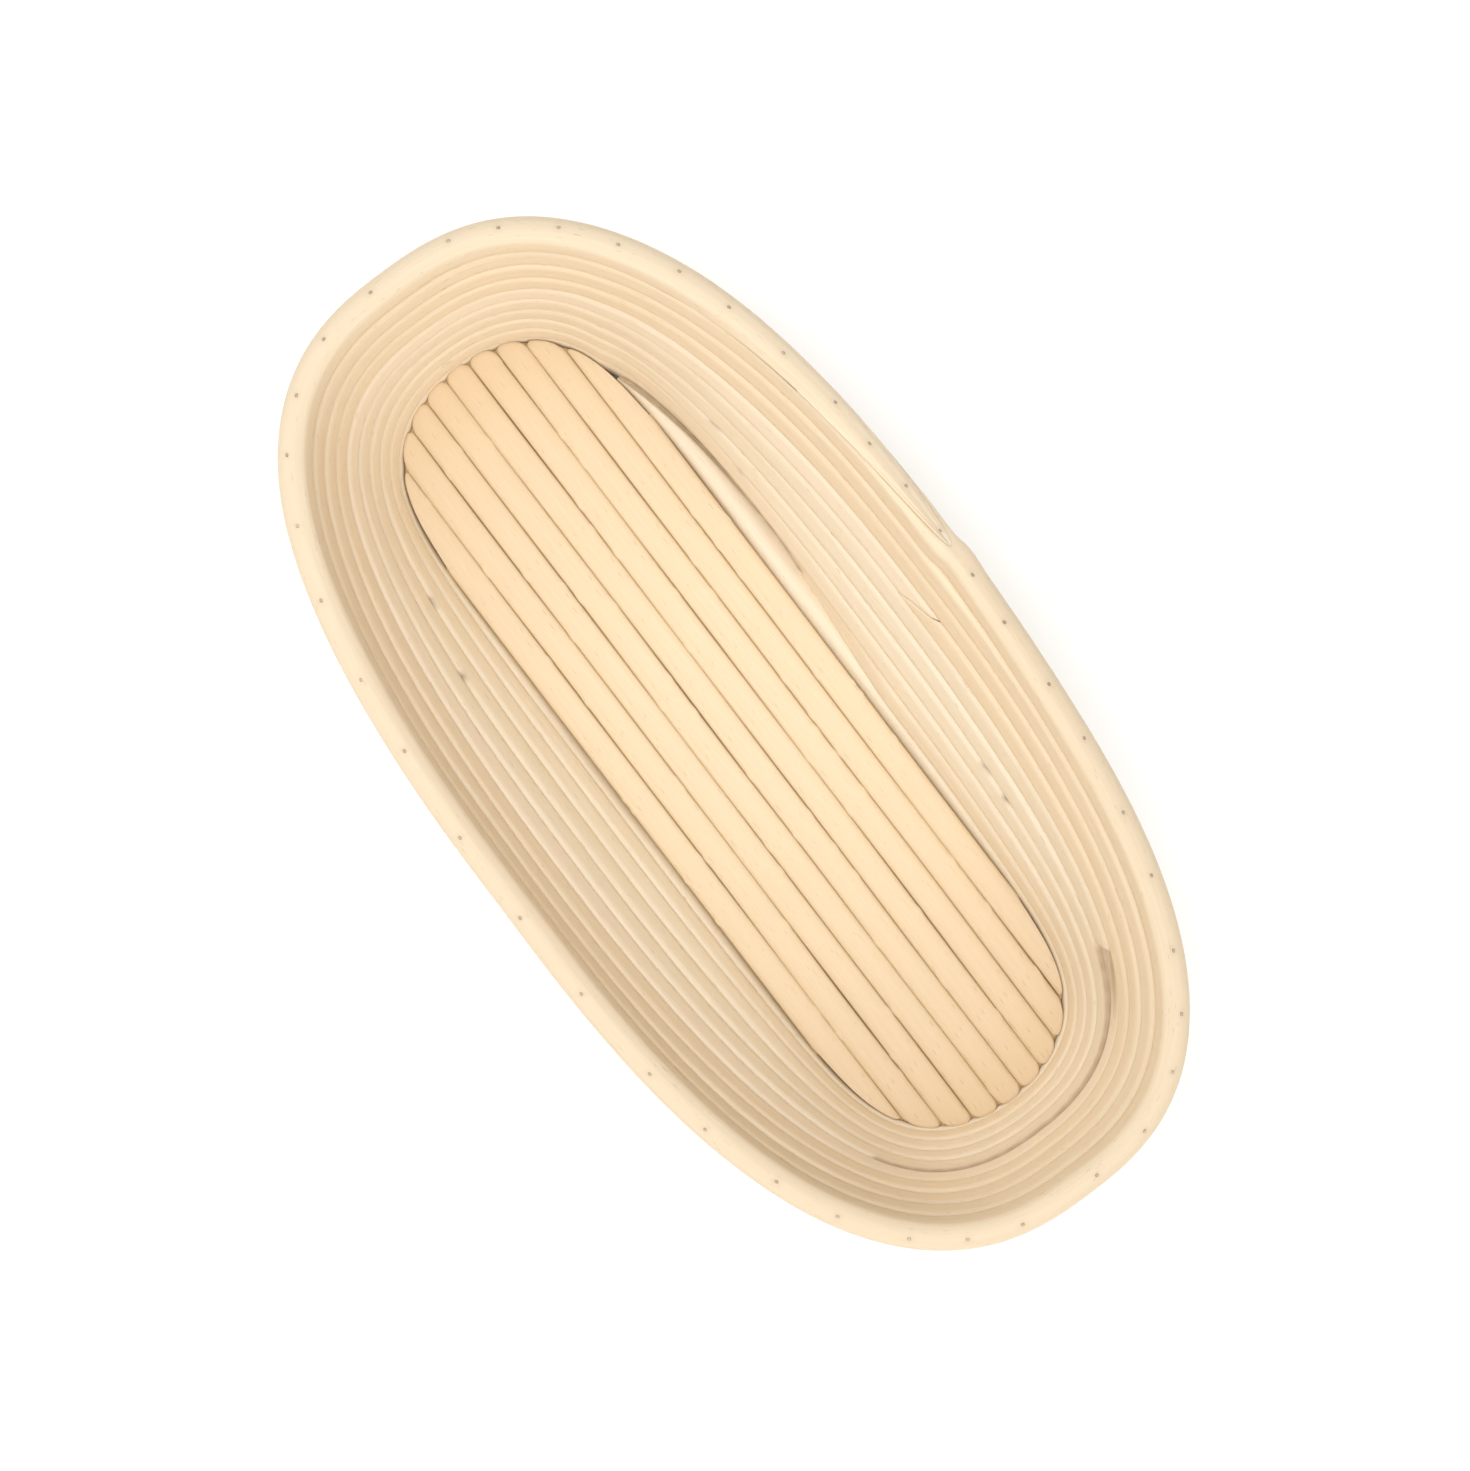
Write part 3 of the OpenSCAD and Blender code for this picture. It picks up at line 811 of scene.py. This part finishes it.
# %% The mark group
mark_group, given, result = new_group(
    "cane_mark", {"Plain": COLOUR, "Mark": NUMBER, "Share": NUMBER, "Stain and shade": COLOUR}, {"Color": COLOUR}
)
factor = maths(mark_group, "MULTIPLY", given["Mark"], given["Share"])
mark_group.links.new(tint(mark_group, factor, given["Plain"], given["Stain and shade"]), result["Color"])
print("mark group:", len(mark_group.nodes), "nodes")

# %% [markdown]
# ## One material for each kind of cane
# The lower wall is a pale straw colour, and the short middle length is paler still. The base and the upper
# length are warmer, and hands have greyed the top of the rim a little. Each material holds its own shader
# and puts the group's colour, gloss and relief into it. What is particular to a piece, such as the painted
# shade in the crease where two base canes touch, is mixed in here.

# %% Bare cane, and marks on it
relief_strength, relief_height = 0.35, 0.15 * MM
cane_shine = 0.3


def cane_material(name, seed, pale, deep):
    """A material of bare cane: the fibre group feeds roughness and, through a bump, the normal. Gives the
    material, its tree, its shader, the group's colour for marks to be mixed in, and the UV place."""
    material = bpy.data.materials.new(name)
    material.use_nodes = True
    tree = material.node_tree
    shader = tree.nodes["Principled BSDF"]
    uv = add(tree, "ShaderNodeUVMap", uv_map="place").outputs[0]
    inputs = {"Place": uv, "Seed": seed, "Pale": (*pale, 1), "Deep": (*deep, 1)}
    fibre = add(tree, "ShaderNodeGroup", inputs, node_tree=fibre_group).outputs
    bump = {"Strength": relief_strength, "Distance": relief_height, "Height": fibre["Height"]}
    relief = add(tree, "ShaderNodeBump", bump).outputs[0]
    tree.links.new(fibre["Roughness"], shader.inputs["Roughness"])
    tree.links.new(relief, shader.inputs["Normal"])
    shader.inputs["Specular IOR Level"].default_value = cane_shine
    return material, tree, shader, fibre["Color"], uv


def marked(tree, colour, name, share, stain_and_shade):
    """A colour with a mark on it: the mark's number, times a share, mixes in a stain or painted shade."""
    spot = add(tree, "ShaderNodeAttribute", attribute_name=name).outputs["Fac"]
    inputs = {"Plain": colour, "Mark": spot, "Share": share, "Stain and shade": (*stain_and_shade, 1)}
    return add(tree, "ShaderNodeGroup", inputs, node_tree=mark_group).outputs[0]


# %% Lower and middle wall cane material
# Colour of the painted shade along the long seam
seam_shade_brown = (0.34, 0.19, 0.07)
wall_cane, tree, shader, colour, uv = cane_material(
    "wall_cane", 1.3, pale=(0.87, 0.77, 0.61), deep=(0.795, 0.66, 0.475)
)
# Painted shade along the long seam under the middle length's start
colour = marked(tree, colour, "faint_seam_shade", 0.8, seam_shade_brown)
# Painted shade in the seam beside the first end, and brown specks where brads come through
colour = marked(tree, colour, "seam_shade_and_specks", 0.8, (0.22, 0.12, 0.05))
tree.links.new(colour, shader.inputs["Base Color"])
lower_wall.data.materials.append(wall_cane)

pale_cane, tree, shader, colour, uv = cane_material(
    "pale_cane", 7.9, pale=(0.90, 0.78, 0.62), deep=(0.84, 0.70, 0.52)
)
# Painted shade along the long seam under this length's start
colour = marked(tree, colour, "faint_seam_shade", 0.8, seam_shade_brown)
# Painted shade in the slot at the sunk start of this length
colour = marked(tree, colour, "seam_shade_and_specks", 0.6, (0.30, 0.17, 0.07))
tree.links.new(colour, shader.inputs["Base Color"])
middle_wall.data.materials.append(pale_cane)
print("materials:", lower_wall.data.materials.keys() + middle_wall.data.materials.keys())

# %% Rim cane material, handled on top
handled_grey = (0.91, 0.90, 0.89, 1)
handled_run = 20 * MM
rim_cane, tree, shader, colour, uv = cane_material(
    "rim_cane", 4.1, pale=(0.86, 0.72, 0.525), deep=(0.80, 0.64, 0.44)
)
place = add(tree, "ShaderNodeSeparateXYZ", {0: uv}).outputs
on_top = ramp(tree, maths(tree, "SINE", maths(tree, "MULTIPLY", place[1], 2 * np.pi)), 0.0, 0.9)
on_rim = ramp(tree, place[0], rim_from - handled_run, rim_from + handled_run)
colour = tint(tree, maths(tree, "MULTIPLY", on_top, on_rim), colour, handled_grey, "MULTIPLY")
# Painted shade of the dent round each brad head
colour = marked(tree, colour, "brad_dent_shade", 0.2, (0.42, 0.28, 0.15))
colour = marked(tree, colour, "sanded_end", 0.3, (0.88, 0.80, 0.68))
tree.links.new(colour, shader.inputs["Base Color"])
upper_wall.data.materials.append(rim_cane)
print("the rim starts", round(rim_from, 2), "m along the upper wall cane")

# %% Base cane material
end_shade_brown = (0.68, 0.47, 0.26, 1)
edge_shade_brown = (0.66, 0.52, 0.31, 1)
crease_shade_brown = (0.44, 0.33, 0.17, 1)
end_run = 24 * MM
base_cane, tree, shader, colour, uv = cane_material(
    "base_cane", 2.7, pale=(0.84, 0.69, 0.49), deep=(0.775, 0.60, 0.395)
)
round_share = add(tree, "ShaderNodeSeparateXYZ", {0: uv}).outputs[1]
sideways = maths(tree, "ABSOLUTE", maths(tree, "SINE", maths(tree, "MULTIPLY", round_share, 2 * np.pi)))
# Painted shade in the crease where two base canes touch
crease_shade = ramp(tree, sideways, 0.71, 0.79)
# Painted shade on the rounded sides of each base cane
shaded = ramp(tree, sideways, 0.25, 0.75)
spot = add(tree, "ShaderNodeTexCoord").outputs["Object"]
end_wise = maths(tree, "ABSOLUTE", add(tree, "ShaderNodeSeparateXYZ", {0: spot}).outputs[0])
# Painted shade and warm bounced light from the wall, near the ends of the base canes
near_end_shade = ramp(tree, end_wise, base_half_l - end_run, base_half_l)
colour = tint(tree, maths(tree, "MULTIPLY", near_end_shade, 0.2), colour, end_shade_brown)
# The crease's painted shade is left out of the pockets between the ends of the canes
pocket = add(tree, "ShaderNodeAttribute", attribute_name="end_pocket").outputs["Fac"]
crease_shade = maths(tree, "MULTIPLY", crease_shade, maths(tree, "SUBTRACT", 1.0, pocket))
colour = tint(tree, maths(tree, "MULTIPLY", shaded, 0.18), colour, edge_shade_brown)
colour = tint(tree, maths(tree, "MULTIPLY", crease_shade, 0.45), colour, crease_shade_brown)
tree.links.new(colour, shader.inputs["Base Color"])
for piece in base_pieces:
    piece.data.materials.append(base_cane)
print("base cane material on", len(base_pieces), "pieces")

# %% [markdown]
# ## Dull steel
# Brads start bright and soon go dull in a kitchen. The middle of each head keeps a little shine, its edge is
# dark with rust and dust, and no two are quite alike. The head's UV gives the distance from its middle; the
# hidden brads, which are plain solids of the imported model, take the same steel from their place in space
# alone.

# %% The dull steel group
steel_grey, steel_dark = (0.56, 0.49, 0.41, 1), (0.42, 0.34, 0.26, 1)
steel_group, given, result = new_group(
    "dull_steel", {"Place": VECTOR}, {"Color": COLOUR, "Roughness": NUMBER}
)
inputs = {"Vector": given["Place"], "Scale": 700.0, "Detail": 2.0}
mottle = add(steel_group, "ShaderNodeTexNoise", inputs).outputs[0]
patchy = tint(steel_group, ramp(steel_group, mottle, 0.35, 0.65), steel_grey, steel_dark)
steel_group.links.new(patchy, result["Color"])
steel_group.links.new(ramp(steel_group, mottle, 0.3, 0.7, 0.35, 0.6), result["Roughness"])
print("dull steel group:", len(steel_group.nodes), "nodes")

# %% Brad steel
rust_brown = (0.28, 0.19, 0.11, 1)
dull_metal = 0.4


def brad_material(name, worn):
    """Dull steel, mottled by noise in space; where a head's UV is to be read, its edge is darker."""
    material = bpy.data.materials.new(name)
    material.use_nodes = True
    tree = material.node_tree
    shader = tree.nodes["Principled BSDF"]
    spot = add(tree, "ShaderNodeTexCoord").outputs["Object"]
    steel = add(tree, "ShaderNodeGroup", {"Place": spot}, node_tree=steel_group).outputs
    colour = steel["Color"]
    if worn:
        uv = add(tree, "ShaderNodeUVMap", uv_map="place").outputs[0]
        edge = ramp(tree, add(tree, "ShaderNodeSeparateXYZ", {0: uv}).outputs[0], 0.45, 1.0)
        colour = tint(tree, maths(tree, "MULTIPLY", edge, 0.7), colour, rust_brown)
    tree.links.new(colour, shader.inputs["Base Color"])
    tree.links.new(steel["Roughness"], shader.inputs["Roughness"])
    shader.inputs["Metallic"].default_value = dull_metal
    return material


head_steel = brad_material("brad_head_steel", True)
for piece in (rim_brads, foot_brads):
    piece.data.materials.append(head_steel)
hidden_steel = brad_material("brad_steel", False)
hidden = [node for name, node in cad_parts.items() if "nails" in name]
for node in hidden:
    node.data.materials.clear()
    node.data.materials.append(hidden_steel)
print("steel on", len(hidden), "rows of brads")

# %% [markdown]
# ## Floor, light and camera
# The basket lies on a white table in soft light from nearly overhead. No single lamp would light the deep
# inside as evenly, so the sky itself is painted with broad soft boxes, and one weak lamp overhead adds the
# faint shadows that a sky alone would wash out. The camera looks almost straight down, turned so that the
# basket lies across the picture's corners.

# %% White table
table_half = 3
table_z = -0.3 * MM
dim_half_l, dim_half_w = 0.13, 0.06  # the table glows a little, but not under the basket
table = bpy.data.meshes.new("table")
signs = [(-1, -1), (1, -1), (1, 1), (-1, 1)]
table.from_pydata([(x * table_half, y * table_half, table_z) for x, y in signs], [], [(0, 1, 2, 3)])
table_object = bpy.data.objects.new("table", table)
bpy.context.scene.collection.objects.link(table_object)
white = bpy.data.materials.new("white_table")
white.use_nodes = True
tree = white.node_tree
shader = tree.nodes["Principled BSDF"]
shader.inputs["Base Color"].default_value = (0.85, 0.85, 0.85, 1)
shader.inputs["Roughness"].default_value = 0.9
shader.inputs["Specular IOR Level"].default_value = 0.0
spot = add(tree, "ShaderNodeTexCoord").outputs["Object"]
stretched = add(tree, "ShaderNodeMapping", {0: spot, 3: (1 / dim_half_l, 1 / dim_half_w, 1)}).outputs[0]
far = add(tree, "ShaderNodeVectorMath", {0: stretched}, operation="LENGTH").outputs["Value"]
tree.links.new(ramp(tree, far, 0.95, 1.25), shader.inputs["Emission Color"])
shader.inputs["Emission Strength"].default_value = 0.16
table.materials.append(white)
print("the table is", 2 * table_half, "m wide")

# %% Studio sky
scene = bpy.context.scene
scene.view_settings.view_transform = "Standard"
scene.world = bpy.data.worlds.new("studio")
scene.world.use_nodes = True
sky = scene.world.node_tree
direction = add(sky, "ShaderNodeTexCoord").outputs["Generated"]
east, north, upward = add(sky, "ShaderNodeSeparateXYZ", {0: direction}).outputs
upward = maths(sky, "MAXIMUM", upward, 0.0)


def sky_light(strength, value, power):
    """A soft light in the sky: a strength times a power of a value that is largest in its direction."""
    return maths(sky, "MULTIPLY", maths(sky, "POWER", maths(sky, "MAXIMUM", value, 0.0), power), strength)


ends = maths(sky, "ABSOLUTE", maths(sky, "MULTIPLY", east, upward))
lights = [
    sky_light(1.75, upward, 8.0),  # a soft box overhead
    sky_light(7.2, ends, 2.0),  # two at the ends of the basket
    sky_light(0.72, east, 2.0),  # a bright wall beyond one end
    sky_light(0.89, maths(sky, "MULTIPLY", north, -1.0), 2.0),  # a window beyond one side
]
strength = lights[0]
for light in lights[1:]:
    strength = maths(sky, "ADD", strength, light)
sky.nodes["Background"].inputs["Color"].default_value = (1, 1, 1, 1)
sky.links.new(strength, sky.nodes["Background"].inputs["Strength"])
print("sky:", len(lights), "soft lights")

# %% Overhead lamp
lamp_way, lamp_up = np.radians(232.6), np.radians(77)
lamp_far = 1.5
lamp = bpy.data.lights.new("overhead", "AREA")
lamp.energy = 3.3
lamp.size = 0.3
lamp_object = bpy.data.objects.new("overhead", lamp)
level = np.cos(lamp_up)
lamp_place = Vector((level * np.cos(lamp_way), level * np.sin(lamp_way), np.sin(lamp_up)))
lamp_object.location = lamp_far * lamp_place
lamp_object.rotation_euler = lamp_object.location.to_track_quat("Z", "Y").to_euler()
scene.collection.objects.link(lamp_object)
print("lamp", round(lamp_object.location.z, 2), "m above the table")

# %% Camera
stand = Vector((0.0006, -0.006, 0.785))
aim = Vector((0.0006, -0.0004, 0.07))
across = Vector((0.607, 0.795, 0))  # the basket's direction that runs to the right in the picture
camera = bpy.data.cameras.new("camera")
camera.lens = 67.84
camera.sensor_width = 36
backward = (stand - aim).normalized()
upright = backward.cross(across).normalized()
across = upright.cross(backward)
camera_object = bpy.data.objects.new("camera", camera)
turning = Matrix((across, upright, backward)).transposed().to_4x4()
camera_object.matrix_world = Matrix.Translation(stand) @ turning
scene.collection.objects.link(camera_object)
scene.camera = camera_object
print("camera", round(stand.z, 3), "m above the table")
